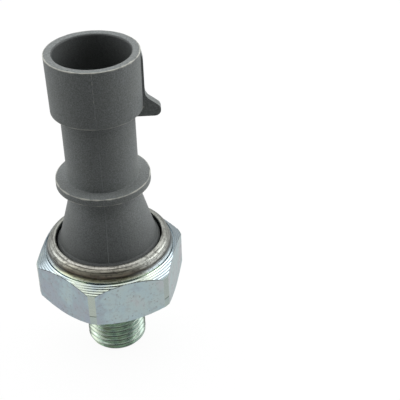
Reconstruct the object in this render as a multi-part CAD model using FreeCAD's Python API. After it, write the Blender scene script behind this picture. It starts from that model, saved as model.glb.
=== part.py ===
import FreeCAD, Part
import functools
import math
import os

from FreeCAD import Vector

# Oil pressure sender of the switch kind, with one terminal.
# A hexagon body with a hollow threaded stud screws into the engine. Oil pressure lifts a diaphragm,
# the diaphragm lifts a plunger, and the plunger lifts a contact disc off its fixed contacts.
# Lengths are in millimetres. Z is the axis and points at the plug end. The origin is on the axis,
# in the plane of the seat under the hexagon. +X points at the latch lug of the plug shroud.

# Threaded stud, drawn at its major diameter
thread_radius = 5.0
stud_length = 11.6
stud_lead_depth = 0.6
stud_lead_length = 0.75
relief_radius = 4.3
relief_length = 1.2
seat_undercut_depth = 0.3
seat_undercut_clearance = 0.15
inlet_radius = 1.5

# Hexagon
hex_across_flats = 22.0
hex_height = 8.35
hex_turn = 16.7
corner_cut = 0.3
chamfer_angle = 35.0
seat_inset = 0.45
shelf_inset = 0.37

# Rolled lip that clamps the housing
lip_outer_radius = 9.8
lip_wall = 0.8
lip_height = 2.1
lip_overhang = 0.3
lip_round = 0.7
lip_edge_round = 0.25

# Pressure side inside the body
ledge_height = 2.2
chamber_land = 1.5
chamber_depth = 1.0
diaphragm_margin = 1.0
diaphragm_thickness = 0.2
diaphragm_clearance = 0.1
pressure_seal_gap = 0.2
pressure_seal_width = 1.4
pressure_seal_height = 1.0
seal_groove_clearance = 0.1
seal_corner_share = 0.3

# Contact set
travel = 0.5
plate_rim_thickness = 1.0
plate_rim_clearance = 0.1
hat_radius = 6.0
hat_wall = 0.8
hat_height = 2.4
hat_hole_radius = 1.75
plunger_clearance = 0.25
pressure_disc_clearance = 0.3
fixed_contact_count = 3
fixed_contact_radius = 0.6
fixed_contact_height = 0.5
fixed_contact_inset = 0.9
contact_disc_inset = 0.8
contact_disc_thickness = 0.6
contact_boss_height = 0.8

# Contact spring
spring_mean_radius = 3.0
spring_wire_radius = 0.28
spring_length = 8.3
spring_turns = 5
spring_arcs_per_turn = 4
spring_boss_clearance = 0.2

# Terminal
shank_radius = 1.4
shank_above_washer = 0.2
pin_radius = 1.15
pin_head_thickness = 1.0
pin_head_clearance = 0.3
pin_tip_radius = 0.55
pin_tip_length = 1.2
pin_tip_below_socket = 0.3
pin_seal_width = 1.15
pin_seal_height = 1.1
push_washer_radius = 3.2
push_washer_thickness = 0.4
push_washer_dish = 0.5

# Plastic housing, from the clamped base up to the plug shroud
housing_fit_clearance = 0.05
housing_seal_height = 1.2
housing_seal_width = 0.9
housing_seal_level = 5.6
contact_room_clearance = 0.3
contact_room_height = 5.0
spring_room_radius = 4.4
web_thickness = 4.5
cone_base_radius = 8.15
cone_height = 9.35
neck_radius = 5.65
neck_bore_radius = 4.2
flange_radius = 7.5
flange_thickness = 1.25
flange_bottom = 20.9
shroud_bottom = 34.05
shroud_height = 9.25
shroud_foot_radius = 7.0
shroud_rim_radius = 7.1
socket_radius = 5.8
socket_depth = 7.7
rim_round = 0.35
small_round = 0.2
foot_round = 0.3

# Latch lug and the rail above it
lug_reach = 9.62
lug_width = 1.4
lug_drop = 1.6
lug_face_height = 1.56
lug_ramp_angle = 38.0
lug_hollow_radius = 1.6
lug_crest_radius = 1.15
lug_nose_radius = 0.95
rail_radius = 7.33
rail_lead_length = 1.6
rail_lead_depth = 0.31

# Levels that follow from the sizes above
hex_face_radius = hex_across_flats / 2
hex_point_radius = hex_across_flats / math.sqrt(3)
corner_radius = hex_point_radius - corner_cut
seat_radius = hex_face_radius - seat_inset
shelf_radius = hex_face_radius - shelf_inset
chamfer_slope = math.tan(math.radians(chamfer_angle))
cavity_radius = lip_outer_radius - lip_wall
lip_edge_radius = cavity_radius - lip_overhang
lip_top = hex_height + lip_height
clamp_level = lip_top - lip_wall
hat_inner_radius = hat_radius - hat_wall
pressure_disc_radius = hat_inner_radius - pressure_disc_clearance
pressure_seal_inner_radius = pressure_disc_radius + pressure_seal_gap
pressure_seal_outer_radius = pressure_seal_inner_radius + pressure_seal_width
chamber_radius = pressure_seal_inner_radius - chamber_land
diaphragm_radius = pressure_seal_outer_radius + diaphragm_margin
contact_disc_radius = hat_radius - contact_disc_inset
fixed_contact_ring = contact_disc_radius - fixed_contact_inset
diaphragm_floor = ledge_height - diaphragm_thickness
plate_rim_top = ledge_height + plate_rim_thickness
hat_top = ledge_height + hat_height
hat_underside = hat_top - hat_wall
pressure_disc_top = hat_underside - travel
contact_level = hat_top + fixed_contact_height
contact_disc_top = contact_level + contact_disc_thickness
pin_head_bottom = contact_disc_top + spring_length
web_bottom = pin_head_bottom + pin_head_thickness
web_top = web_bottom + web_thickness
push_washer_top = web_top + push_washer_dish + push_washer_thickness
shank_top = push_washer_top + shank_above_washer
cone_top = clamp_level + cone_height
flange_top = flange_bottom + flange_thickness
shroud_top = shroud_bottom + shroud_height
socket_bottom = shroud_top - socket_depth
pin_top = socket_bottom - pin_tip_below_socket
spring_boss_radius = spring_mean_radius - spring_wire_radius - spring_boss_clearance
lug_bottom = shroud_bottom - lug_drop
lug_face_top = lug_bottom + lug_face_height
lug_ramp_top = lug_face_top + (lug_reach - rail_radius) * math.tan(math.radians(lug_ramp_angle))


def turned(profile):
    """Solid of revolution about Z from a closed list of (radius, level) points."""
    points = [Vector(radius, 0, level) for radius, level in profile]
    points.append(points[0])
    face = Part.Face(Part.makePolygon(points))
    return face.revolve(Vector(0, 0, 0), Vector(0, 0, 1), 360)


def cylinder(radius, bottom, top):
    return Part.makeCylinder(radius, top - bottom, Vector(0, 0, bottom))


def ring(inner_radius, outer_radius, bottom, top):
    return cylinder(outer_radius, bottom, top).cut(cylinder(inner_radius, bottom, top))


def round_edges(shape, size, wanted):
    """Fillet the circular edges that lie at the wanted (radius, level) places."""
    edges = []
    for edge in shape.Edges:
        curve = edge.Curve
        if not isinstance(curve, Part.Circle) or abs(abs(curve.Axis.z) - 1) > 0.001:
            continue
        for radius, level in wanted:
            if abs(curve.Radius - radius) < 0.001 and abs(curve.Center.z - level) < 0.001:
                edges.append(edge)
    return shape.makeFillet(size, edges)


def seal_ring(inner_radius, width, bottom, height):
    """Rubber ring squeezed in its groove: flat where it seals, round at its corners."""
    outer_radius = inner_radius + width
    top = bottom + height
    body = ring(inner_radius, outer_radius, bottom, top)
    corners = [(r, z) for r in (inner_radius, outer_radius) for z in (bottom, top)]
    return round_edges(body, seal_corner_share * min(width, height), corners)


def hexagon(bottom, top):
    points = []
    for index in range(6):
        angle = math.radians(hex_turn + 60 * index)
        x = hex_point_radius * math.cos(angle)
        y = hex_point_radius * math.sin(angle)
        points.append(Vector(x, y, bottom))
    points.append(points[0])
    return Part.Face(Part.makePolygon(points)).extrude(Vector(0, 0, top - bottom))


def hexagon_head():
    """Hexagon bar with both ends chamfered by turning, and its points turned down."""
    seat_chamfer = (corner_radius - seat_radius) * chamfer_slope
    shelf_chamfer = (corner_radius - shelf_radius) * chamfer_slope
    envelope = turned([
        (0, 0),
        (seat_radius, 0),
        (corner_radius, seat_chamfer),
        (corner_radius, hex_height - shelf_chamfer),
        (shelf_radius, hex_height),
        (0, hex_height),
    ])
    return hexagon(0, hex_height).common(envelope)


def stud():
    lead_level = -stud_length + stud_lead_length
    return turned([
        (0, -stud_length),
        (thread_radius - stud_lead_depth, -stud_length),
        (thread_radius, lead_level),
        (thread_radius, -relief_length),
        (relief_radius, -relief_length + (thread_radius - relief_radius)),
        (relief_radius, 0),
        (0, 0),
    ])


def seat_undercut():
    """Small turned groove that lets a flat sealing ring lie on the seat past the thread."""
    return turned([
        (relief_radius, 0),
        (thread_radius + seat_undercut_clearance, 0),
        (relief_radius, seat_undercut_depth),
    ])


def rolled_lip():
    """Thin collar whose edge is rolled inwards over the housing's base."""
    collar = turned([
        (cavity_radius, ledge_height),
        (lip_outer_radius, ledge_height),
        (lip_outer_radius, lip_top),
        (lip_edge_radius, lip_top),
        (lip_edge_radius, clamp_level),
        (cavity_radius, clamp_level),
    ])
    collar = round_edges(collar, lip_round, [(lip_outer_radius, lip_top)])
    return round_edges(collar, lip_edge_round, [(lip_edge_radius, lip_top)])


def hex_body():
    cavity = cylinder(cavity_radius, ledge_height, lip_top)
    recess = cylinder(diaphragm_radius + diaphragm_clearance, diaphragm_floor, ledge_height)
    chamber_floor = diaphragm_floor - chamber_depth
    chamber = cylinder(chamber_radius, chamber_floor, diaphragm_floor)
    groove = ring(
        pressure_seal_inner_radius - seal_groove_clearance,
        pressure_seal_outer_radius + seal_groove_clearance,
        diaphragm_floor - pressure_seal_height,
        diaphragm_floor,
    )
    inlet = cylinder(inlet_radius, -stud_length, chamber_floor)
    body = hexagon_head().fuse(stud())
    for hollow in (cavity, recess, chamber, groove, inlet, seat_undercut()):
        body = body.cut(hollow)
    return body.fuse(rolled_lip()).removeSplitter()


def diaphragm_seal():
    bottom = diaphragm_floor - pressure_seal_height
    return seal_ring(pressure_seal_inner_radius, pressure_seal_width, bottom, pressure_seal_height)


def diaphragm():
    return cylinder(diaphragm_radius, diaphragm_floor, ledge_height)


def pressure_disc():
    disc = cylinder(pressure_disc_radius, ledge_height, pressure_disc_top)
    return round_edges(disc, small_round, [(pressure_disc_radius, pressure_disc_top)])


def contact_plate():
    """Pressed metal hat: its rim is clamped on the body's ledge, and its crown carries the fixed contacts."""
    rim_radius = cavity_radius - plate_rim_clearance
    return turned([
        (hat_inner_radius, ledge_height),
        (rim_radius, ledge_height),
        (rim_radius, plate_rim_top),
        (hat_radius, plate_rim_top),
        (hat_radius, hat_top),
        (hat_hole_radius, hat_top),
        (hat_hole_radius, hat_underside),
        (hat_inner_radius, hat_underside),
    ])


def fixed_contact(index):
    """One of the contact buttons, evenly spaced round the crown of the contact plate."""
    angle = 2 * math.pi * index / fixed_contact_count
    foot = Vector(fixed_contact_ring * math.cos(angle), fixed_contact_ring * math.sin(angle), hat_top)
    return Part.makeCylinder(fixed_contact_radius, fixed_contact_height, foot)


def plunger():
    radius = hat_hole_radius - plunger_clearance
    return cylinder(radius, pressure_disc_top, contact_level)


def moving_contact():
    disc = turned([
        (0, contact_level),
        (contact_disc_radius, contact_level),
        (contact_disc_radius, contact_disc_top),
        (spring_boss_radius, contact_disc_top),
        (spring_boss_radius, contact_disc_top + contact_boss_height),
        (0, contact_disc_top + contact_boss_height),
    ])
    return round_edges(disc, small_round, [(spring_boss_radius, contact_disc_top + contact_boss_height)])


def contact_spring():
    """Coil of round wire, as a chain of short arcs that each start along the end of the last one."""
    rise = spring_length - 2 * spring_wire_radius
    count = spring_turns * spring_arcs_per_turn
    points = []
    for index in range(count + 1):
        angle = 2 * math.pi * index / spring_arcs_per_turn
        level = contact_disc_top + spring_wire_radius + rise * index / count
        x = spring_mean_radius * math.cos(angle)
        y = spring_mean_radius * math.sin(angle)
        points.append(Vector(x, y, level))
    direction = Vector(0, 2 * math.pi * spring_mean_radius, rise / spring_turns).normalize()
    coil = None
    for start, end in zip(points, points[1:]):
        piece, direction = wire_arc(start, end, direction)
        coil = piece if coil is None else coil.fuse(piece)
    return coil


def wire_arc(start, end, direction):
    """Round wire bent in one arc from start to end, and the direction in which it ends."""
    chord = end - start
    normal = direction.cross(chord).normalize()
    inward = normal.cross(direction).normalize()
    bend_radius = chord.dot(chord) / (2 * chord.dot(inward))
    angle = math.degrees(2 * math.asin(chord.Length / (2 * bend_radius)))
    section = Part.Face(Part.Wire(Part.makeCircle(spring_wire_radius, start, direction)))
    piece = section.revolve(start + inward * bend_radius, normal, angle)
    return piece, FreeCAD.Rotation(normal, angle).multVec(direction)


def terminal_pin():
    """Brass pin: a head that takes the spring, a shank through the web, and a thinner end for the plug."""
    head_radius = spring_room_radius - pin_head_clearance
    return turned([
        (0, pin_head_bottom),
        (head_radius, pin_head_bottom),
        (head_radius, web_bottom),
        (shank_radius, web_bottom),
        (shank_radius, shank_top),
        (pin_radius, shank_top + shank_radius - pin_radius),
        (pin_radius, pin_top - pin_tip_length),
        (pin_tip_radius, pin_top),
        (0, pin_top),
    ])


def terminal_seal():
    return seal_ring(shank_radius, pin_seal_width, web_bottom, pin_seal_height)


def push_washer():
    """Dished washer pushed down over the terminal: it grips the shank and pulls the head up to the web."""
    return turned([
        (shank_radius, web_top + push_washer_dish),
        (push_washer_radius, web_top),
        (push_washer_radius, web_top + push_washer_thickness),
        (shank_radius, push_washer_top),
    ])


def housing_seal():
    inner_radius = cavity_radius - housing_seal_width
    return seal_ring(inner_radius, housing_seal_width, housing_seal_level, housing_seal_height)


def housing_outside():
    """Base, cone, neck with its flange, and plug shroud, as one turned outline."""
    base_radius = cavity_radius - housing_fit_clearance
    outline = turned([
        (0, plate_rim_top),
        (base_radius, plate_rim_top),
        (base_radius, clamp_level),
        (cone_base_radius, clamp_level),
        (neck_radius, cone_top),
        (neck_radius, flange_bottom),
        (flange_radius, flange_bottom),
        (flange_radius, flange_top),
        (neck_radius, flange_top),
        (neck_radius, shroud_bottom),
        (shroud_foot_radius, shroud_bottom),
        (shroud_rim_radius, shroud_top),
        (0, shroud_top),
    ])
    rims = [(flange_radius, flange_bottom), (flange_radius, flange_top)]
    feet = [(neck_radius, flange_top), (shroud_foot_radius, shroud_bottom)]
    return round_edges(round_edges(outline, small_round, rims), foot_round, feet)


def latch_lug():
    """Lug that the plug's latch snaps over, with the rail that guides the latch down from the rim to it."""
    root_radius = (neck_radius + neck_bore_radius) / 2
    half_width = lug_width / 2
    hollow = (rail_radius, lug_ramp_top)
    crest = (lug_reach, lug_face_top)
    nose = (lug_reach, lug_bottom)
    outline = [
        hollow,
        crest,
        nose,
        (root_radius, lug_bottom),
        (root_radius, shroud_top),
        (rail_radius - rail_lead_depth, shroud_top),
        (rail_radius, shroud_top - rail_lead_length),
    ]
    points = [Vector(radius, -half_width, level) for radius, level in outline]
    points.append(points[0])
    plate = Part.Face(Part.makePolygon(points)).extrude(Vector(0, lug_width, 0))
    for corner, size in ((hollow, lug_hollow_radius), (crest, lug_crest_radius), (nose, lug_nose_radius)):
        plate = plate.makeFillet(size, [edge_across(plate, corner)])
    return plate


def edge_across(plate, corner):
    """The edge of a plate that runs along Y at the given (x, z) corner."""
    radius, level = corner
    for edge in plate.Edges:
        ends = [vertex.Point for vertex in edge.Vertexes]
        if all(abs(end.x - radius) < 0.001 and abs(end.z - level) < 0.001 for end in ends):
            return edge


def housing_inside():
    """Hollows of the housing: contact room, spring room, terminal hole, neck bore and socket."""
    room_radius = hat_radius + contact_room_clearance
    room_top = plate_rim_top + contact_room_height
    hollows = [
        cylinder(room_radius, plate_rim_top, room_top),
        cylinder(spring_room_radius, room_top, web_bottom),
        cylinder(shank_radius + pin_seal_width, web_bottom, web_bottom + pin_seal_height),
        cylinder(shank_radius, web_bottom, web_top),
        cylinder(neck_bore_radius, web_top, socket_bottom),
        cylinder(socket_radius, socket_bottom, shroud_top),
    ]
    groove = ring(
        cavity_radius - housing_seal_width,
        cavity_radius,
        housing_seal_level,
        housing_seal_level + housing_seal_height,
    )
    return hollows + [groove]


def connector_housing():
    housing = housing_outside().fuse(latch_lug())
    for hollow in housing_inside():
        housing = housing.cut(hollow)
    housing = housing.removeSplitter()
    return round_edges(housing, rim_round, [(socket_radius, shroud_top)])


nodes = {
    "hex_body": hex_body,
    "diaphragm_seal": diaphragm_seal,
    "diaphragm": diaphragm,
    "pressure_disc": pressure_disc,
    "contact_plate": contact_plate,
    "plunger": plunger,
    "moving_contact": moving_contact,
    "contact_spring": contact_spring,
    "terminal_pin": terminal_pin,
    "terminal_seal": terminal_seal,
    "push_washer": push_washer,
    "housing_seal": housing_seal,
    "connector_housing": connector_housing,
}
for index in range(fixed_contact_count):
    nodes["fixed_contact_" + str(index + 1)] = functools.partial(fixed_contact, index)

os.makedirs("parts", exist_ok=True)
for name, make in nodes.items():
    shape = make()
    shape.exportStep("parts/" + name + ".step")
    print(name, "valid", shape.isValid(), "solids", len(shape.Solids), "volume", round(shape.Volume, 2))
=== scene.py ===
# %% [markdown]
# # An oil pressure sender
# This switch screws into an engine's oil gallery. Its hexagon body is turned steel with zinc plating,
# its stud carries an M10 x 1 thread, and its plug housing is moulded plastic with a latch lug.
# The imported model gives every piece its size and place, so it is loaded first and never moved.
# What shows most is then modelled again with finer detail: the body and the plug housing.
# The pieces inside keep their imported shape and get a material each.

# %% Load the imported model
import math

import bpy
from mathutils import Matrix, Vector


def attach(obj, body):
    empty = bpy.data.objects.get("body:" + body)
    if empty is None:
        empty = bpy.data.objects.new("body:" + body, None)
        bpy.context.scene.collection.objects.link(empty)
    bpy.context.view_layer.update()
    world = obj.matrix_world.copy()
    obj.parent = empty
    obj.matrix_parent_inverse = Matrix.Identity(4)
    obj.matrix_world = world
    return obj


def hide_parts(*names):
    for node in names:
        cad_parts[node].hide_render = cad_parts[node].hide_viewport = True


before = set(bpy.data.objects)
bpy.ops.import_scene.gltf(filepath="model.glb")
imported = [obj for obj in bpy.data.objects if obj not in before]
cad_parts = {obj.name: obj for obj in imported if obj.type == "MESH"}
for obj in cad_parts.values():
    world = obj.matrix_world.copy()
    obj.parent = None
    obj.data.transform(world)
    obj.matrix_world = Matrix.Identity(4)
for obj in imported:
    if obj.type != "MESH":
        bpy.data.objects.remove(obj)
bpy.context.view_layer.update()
MM = 0.001


# %% [markdown]
# ## Outlines
# Almost everything here is turned or moulded round one axis, so a piece starts as half of its section.
# The section could be typed as a mesh, but it is drawn as by hand: one vertex is extruded from corner
# to corner. A corner may carry a radius, and a small helper turns it into a short arc first.

# %% Corners with a radius
ARC_STEPS = 6


def rounded(corners):
    """Points of a closed outline in mm, from corners (x, z) or (x, z, radius)."""
    points = []
    for index, corner in enumerate(corners):
        here = Vector(corner[:2])
        if len(corner) == 2:
            points.append(here)
            continue
        radius = corner[2]
        back = (Vector(corners[index - 1][:2]) - here).normalized()
        ahead = (Vector(corners[(index + 1) % len(corners)][:2]) - here).normalized()
        half_angle = back.angle(ahead) / 2
        centre = here + (back + ahead).normalized() * radius / math.sin(half_angle)
        reach = radius / math.tan(half_angle)
        first = here + back * reach - centre
        last = here + ahead * reach - centre
        for step in range(ARC_STEPS + 1):
            points.append(centre + first.lerp(last, step / ARC_STEPS).normalized() * radius)
    return points


# %% Draw an outline by extruding one vertex
MERGE = 0.001 * MM


def draw_outline(name, points):
    """Leaves a new piece in edit mode: a closed line in the plane of X and Z."""
    bpy.ops.object.select_all(action="DESELECT")
    bpy.ops.mesh.primitive_plane_add(size=MM, location=(0, 0, 0))
    piece = bpy.context.object
    piece.name = piece.data.name = name
    bpy.ops.object.mode_set(mode="EDIT")
    bpy.ops.mesh.merge(type="CENTER")
    bpy.ops.transform.translate(value=(points[0].x * MM, 0, points[0].y * MM))
    for start, end in zip(points, points[1:] + points[:1]):
        step = (end - start) * MM
        bpy.ops.mesh.extrude_region_move(TRANSFORM_OT_translate={"value": (step.x, 0, step.y)})
    bpy.ops.mesh.select_all(action="SELECT")
    bpy.ops.mesh.remove_doubles(threshold=MERGE)
    print(name, "outline points:", len(points))
    return piece


# %% Spin an outline round the axis
def spin_outline(steps):
    """Spins the outline in edit mode once round Z, and leaves a closed shell in object mode."""
    bpy.ops.mesh.spin(steps=steps, angle=2 * math.pi, center=(0, 0, 0), axis=(0, 0, 1))
    bpy.ops.mesh.select_all(action="SELECT")
    bpy.ops.mesh.remove_doubles(threshold=MERGE)
    bpy.ops.mesh.normals_make_consistent(inside=False)
    bpy.ops.object.mode_set(mode="OBJECT")


# %% Join, cut or trim one piece with another
def select_only(piece):
    """Deselects everything else and makes the piece active."""
    bpy.ops.object.select_all(action="DESELECT")
    bpy.context.view_layer.objects.active = piece
    piece.select_set(True)


def combine(piece, tool, operation):
    """Applies a Boolean modifier with the tool, and deletes the tool."""
    modifier = piece.modifiers.new(operation, "BOOLEAN")
    modifier.operation = operation
    modifier.solver = "EXACT"
    modifier.object = tool
    select_only(piece)
    bpy.ops.object.modifier_apply(modifier=modifier.name)
    bpy.data.objects.remove(tool)
    print(piece.name, operation, "faces:", len(piece.data.polygons))


# %% Look at a finished mesh
def finish_mesh(piece, smooth_angle):
    """Merges doubles, shades by angle, and prints the size and whether the shell is closed."""
    select_only(piece)
    bpy.ops.object.mode_set(mode="EDIT")
    bpy.ops.mesh.select_all(action="SELECT")
    bpy.ops.mesh.remove_doubles(threshold=MERGE)
    bpy.ops.mesh.select_all(action="DESELECT")
    bpy.ops.mesh.select_non_manifold(extend=False)
    bpy.ops.object.mode_set(mode="OBJECT")
    loose = sum(vertex.select for vertex in piece.data.vertices)
    bpy.ops.object.shade_smooth_by_angle(angle=math.radians(smooth_angle))
    triangles = sum(len(face.vertices) - 2 for face in piece.data.polygons)
    size = [round(value / MM, 2) for value in piece.dimensions]
    print(piece.name, "triangles", triangles, "open vertices", loose, "size in mm", size)


# %% [markdown]
# ## The body
# The real body is turned from hexagon bar on a lathe, and the tool leaves fine rings on its chamfers.
# The same order works here. The whole turned section is spun first, with the rings as shallow hollows
# in its outline, and a hexagon bar then trims it. That cut alone draws the curved edges of the flats.

# %% Sizes of the body, in mm
STUD_RADIUS = 5.0
STUD_END = -11.6
INLET_RADIUS = 1.5
INLET_CHAMFER = 0.3
FLATS = 22.0
HEX_HEIGHT = 8.35
HEX_TURN = 16.7
CORNER_RADIUS = 12.4
SEAT_RADIUS = 10.55
SHELF_RADIUS = 10.63
CHAMFER = math.tan(math.radians(35))
CORNER_LOW = (CORNER_RADIUS - SEAT_RADIUS) * CHAMFER
CORNER_TOP = HEX_HEIGHT - (CORNER_RADIUS - SHELF_RADIUS) * CHAMFER
LIP_RADIUS = 10.1
LIP_FOOT_RADIUS = 10.52
LIP_TOP = 10.45
LIP_EDGE_RADIUS = 8.7
LIP_UNDERSIDE = 9.65
CAVITY_RADIUS = 9.0


# %% Rings that a lathe tool leaves
def turned_rings(start, end, count, depth):
    """Points from start to end with shallow hollows between sharp crests."""
    start, end = Vector(start), Vector(end)
    along = end - start
    inward = Vector((-along.y, along.x)).normalized()
    points = []
    for step in range(count * ARC_STEPS + 1):
        share = step / ARC_STEPS
        hollow = 4 * (share % 1) * (1 - share % 1) * depth
        points.append(start + along * share / count + inward * hollow)
    return [tuple(point) for point in points]


# %% Outside of the stud, from its chamfered end up to the undercut and the seat
LEAD_WIDTH = 0.6
LEAD_LENGTH = 0.75
UNDERCUT_RADIUS = 4.3
UNDERCUT_TOP = 0.3
stud_corners = [
    (INLET_RADIUS + INLET_CHAMFER, STUD_END), (STUD_RADIUS - LEAD_WIDTH, STUD_END, 0.12),
    (STUD_RADIUS, STUD_END + LEAD_LENGTH, 0.4), (STUD_RADIUS, -1.2), (UNDERCUT_RADIUS, -0.5, 0.2),
    (UNDERCUT_RADIUS, UNDERCUT_TOP), (5.15, 0), (SEAT_RADIUS - 0.05, 0),
]

# %% Outside of the hexagon: ringed chamfers, a faint step across the corners, and a burr at their top
CREASE_LEVEL = 2.93
CREASE_STEP = 0.02
BURR_STEP = 0.17
hexagon_corners = turned_rings((SEAT_RADIUS, 0), (CORNER_RADIUS, CORNER_LOW), 4, 0.03)
hexagon_corners += [
    (CORNER_RADIUS, CREASE_LEVEL), (CORNER_RADIUS - CREASE_STEP, CREASE_LEVEL + 0.07),
    (CORNER_RADIUS - CREASE_STEP, CORNER_TOP - 0.04),
    (CORNER_RADIUS - BURR_STEP, CORNER_TOP), (CORNER_RADIUS - BURR_STEP, CORNER_TOP + 0.06),
]
top_ring = (CORNER_RADIUS - 0.12, CORNER_TOP + 0.11)
hexagon_corners += turned_rings(top_ring, (SHELF_RADIUS + 0.1, HEX_HEIGHT - 0.04), 5, 0.035)

# %% The rolled lip: a groove at its foot, a sloped foot, a steep wall, two small steps, a round edge
FOOT_GROOVE = 0.3
lip_corners = [
    (SHELF_RADIUS + 0.06, HEX_HEIGHT - FOOT_GROOVE), (SHELF_RADIUS - 0.04, HEX_HEIGHT - FOOT_GROOVE),
    (LIP_FOOT_RADIUS, HEX_HEIGHT + 0.02), (10.28, 8.62, 0.3),
    (LIP_RADIUS + 0.05, 8.95, 0.1), (LIP_RADIUS, 9.36, 0.25),
    (9.9, 9.85, 0.1), (9.855, 9.88), (9.8, 9.88), (9.78, 9.94),
    (9.5, 10.19, 0.1), (9.45, 10.2), (9.42, 10.27),
    (9.1, LIP_TOP, 0.4), (LIP_EDGE_RADIUS, LIP_TOP, 0.22), (LIP_EDGE_RADIUS, LIP_UNDERSIDE),
]

# %% Inside: the cavity, the diaphragm's seat with its seal groove, the oil chamber and the inlet
CAVITY_FLOOR = 2.2
DIAPHRAGM_SEAT = 2.0
GROOVE_FLOOR = 1.0
inside_corners = [
    (CAVITY_RADIUS, LIP_UNDERSIDE), (CAVITY_RADIUS, CAVITY_FLOOR), (7.6, CAVITY_FLOOR),
    (7.6, DIAPHRAGM_SEAT), (6.6, DIAPHRAGM_SEAT), (6.6, GROOVE_FLOOR), (5.0, GROOVE_FLOOR),
    (5.0, DIAPHRAGM_SEAT), (3.6, DIAPHRAGM_SEAT), (3.6, GROOVE_FLOOR),
    (INLET_RADIUS, GROOVE_FLOOR), (INLET_RADIUS, STUD_END + INLET_CHAMFER),
]

# %% Spin the whole section
BODY_STEPS = 192
body = draw_outline("body", rounded(stud_corners + hexagon_corners + lip_corners + inside_corners))
spin_outline(BODY_STEPS)

# %% Trim it with hexagon bar
BAR_LENGTH = 60
bpy.ops.object.select_all(action="DESELECT")
bpy.ops.mesh.primitive_cylinder_add(vertices=6, radius=FLATS / math.sqrt(3) * MM, depth=BAR_LENGTH * MM)
bar = bpy.context.object
bar.rotation_euler.z = math.radians(HEX_TURN - 30)
bpy.ops.object.transform_apply(location=True, rotation=True, scale=True)
combine(body, bar, "INTERSECT")

# %% [markdown]
# ## The thread
# An M10 x 1 thread is a 60 degree groove that climbs 1 mm in each turn. It could be painted on as bump,
# but its saw-toothed sides show against the background, so it is cut for real. A Screw modifier sweeps
# the groove's section up the stud, and that coil is then cut out of the body. The coil starts below the
# stud's end, so the thread runs out through the chamfer, and its wide mouth rounds the crests.

# %% The groove's section and its coil
PITCH = 1.0
THREAD_TURNS = 11
THREAD_TOP = -0.55
THREAD_DEPTH = 0.613
COIL_STEPS = 96
half_section = [
    (STUD_RADIUS - THREAD_DEPTH, 0.0835), (4.92, 0.391), (4.955, 0.426), (4.98, 0.469),
    (STUD_RADIUS + 0.1, 0.495),
]
groove_section = [(x, -z) for x, z in half_section] + half_section[::-1]
thread_low = THREAD_TOP - THREAD_TURNS * PITCH
groove = draw_outline("groove", [Vector((x, z + thread_low)) for x, z in groove_section])
bpy.ops.object.mode_set(mode="OBJECT")
coil = groove.modifiers.new("coil", "SCREW")
coil.axis = "Z"
coil.screw_offset = PITCH * MM
coil.iterations = THREAD_TURNS
coil.steps = coil.render_steps = COIL_STEPS
coil.use_smooth_shade = False
bpy.ops.object.modifier_apply(modifier=coil.name)

# %% Close the coil's two ends, and cut it out of the stud
THREAD_SMOOTH = 20
bpy.ops.object.mode_set(mode="EDIT")
bpy.ops.mesh.select_all(action="SELECT")
bpy.ops.mesh.fill_holes(sides=len(groove_section))
bpy.ops.mesh.select_all(action="SELECT")
bpy.ops.mesh.normals_make_consistent(inside=False)
bpy.ops.object.mode_set(mode="OBJECT")
combine(body, groove, "DIFFERENCE")
finish_mesh(body, THREAD_SMOOTH)

# %% [markdown]
# ## The plug housing
# The real housing is one injection moulding: a clamped base, a cone that flares a little at its foot,
# a neck with a flange, and the plug shroud. A thin deep gap parts the cone's foot from the steel lip.
# Two mould halves met along two fine raised lines, one at the front and one at the back. The section
# is spun, and each line is made from one column of the spin's edges, bevelled into a narrow strip
# whose middle is pushed out.

# %% Sizes of the housing, in mm
BASE_RADIUS = 8.95
BASE_BOTTOM = 3.2
CONE_FOOT_RADIUS = 8.42
CONE_FOOT_TOP = 9.9
CONE_TOP = 18.7
NECK_RADIUS = 5.65
FLANGE_RADIUS = 7.5
FLANGE_BOTTOM = 20.9
FLANGE_TOP = 22.15
SHROUD_FOOT_RADIUS = 7.0
SHROUD_BOTTOM = 34.05
RIM_RADIUS = 7.1
RIM_TOP = 43.3
SOCKET_RADIUS = 5.8
SOCKET_FLOOR = 35.6
HOLLOW_RADIUS = 4.2
HOLLOW_FLOOR = 19.5

# %% Outside of the housing, from its base up to the rim
outer_corners = [
    (6.3, BASE_BOTTOM), (BASE_RADIUS, BASE_BOTTOM), (BASE_RADIUS, 5.6), (8.1, 5.6), (8.1, 6.8),
    (BASE_RADIUS, 6.8), (BASE_RADIUS, LIP_UNDERSIDE), (8.75, LIP_UNDERSIDE), (8.7, 7.6), (8.5, 7.6),
    (CONE_FOOT_RADIUS, CONE_FOOT_TOP, 0.15), (7.98, 10.3, 0.3), (NECK_RADIUS, CONE_TOP, 0.1),
    (NECK_RADIUS, FLANGE_BOTTOM, 0.08), (FLANGE_RADIUS, FLANGE_BOTTOM, 0.12),
    (FLANGE_RADIUS, FLANGE_TOP, 0.12), (NECK_RADIUS, FLANGE_TOP, 0.08),
    (NECK_RADIUS, SHROUD_BOTTOM, 0.08), (SHROUD_FOOT_RADIUS, SHROUD_BOTTOM, 0.12),
    (RIM_RADIUS, RIM_TOP, 0.1),
]

# %% Inside of the housing, from the rim down the socket and the terminal's seat to the base, and spin
inner_corners = [
    (SOCKET_RADIUS, RIM_TOP, 0.35), (SOCKET_RADIUS, SOCKET_FLOOR), (HOLLOW_RADIUS, SOCKET_FLOOR),
    (HOLLOW_RADIUS, HOLLOW_FLOOR), (1.4, HOLLOW_FLOOR), (1.4, 16.1), (2.55, 16.1),
    (2.55, 15.0), (4.4, 15.0), (4.4, 8.2), (6.3, 8.2),
]
HOUSING_STEPS = 202
housing = draw_outline("housing", rounded(outer_corners + inner_corners))
spin_outline(HOUSING_STEPS)

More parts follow.
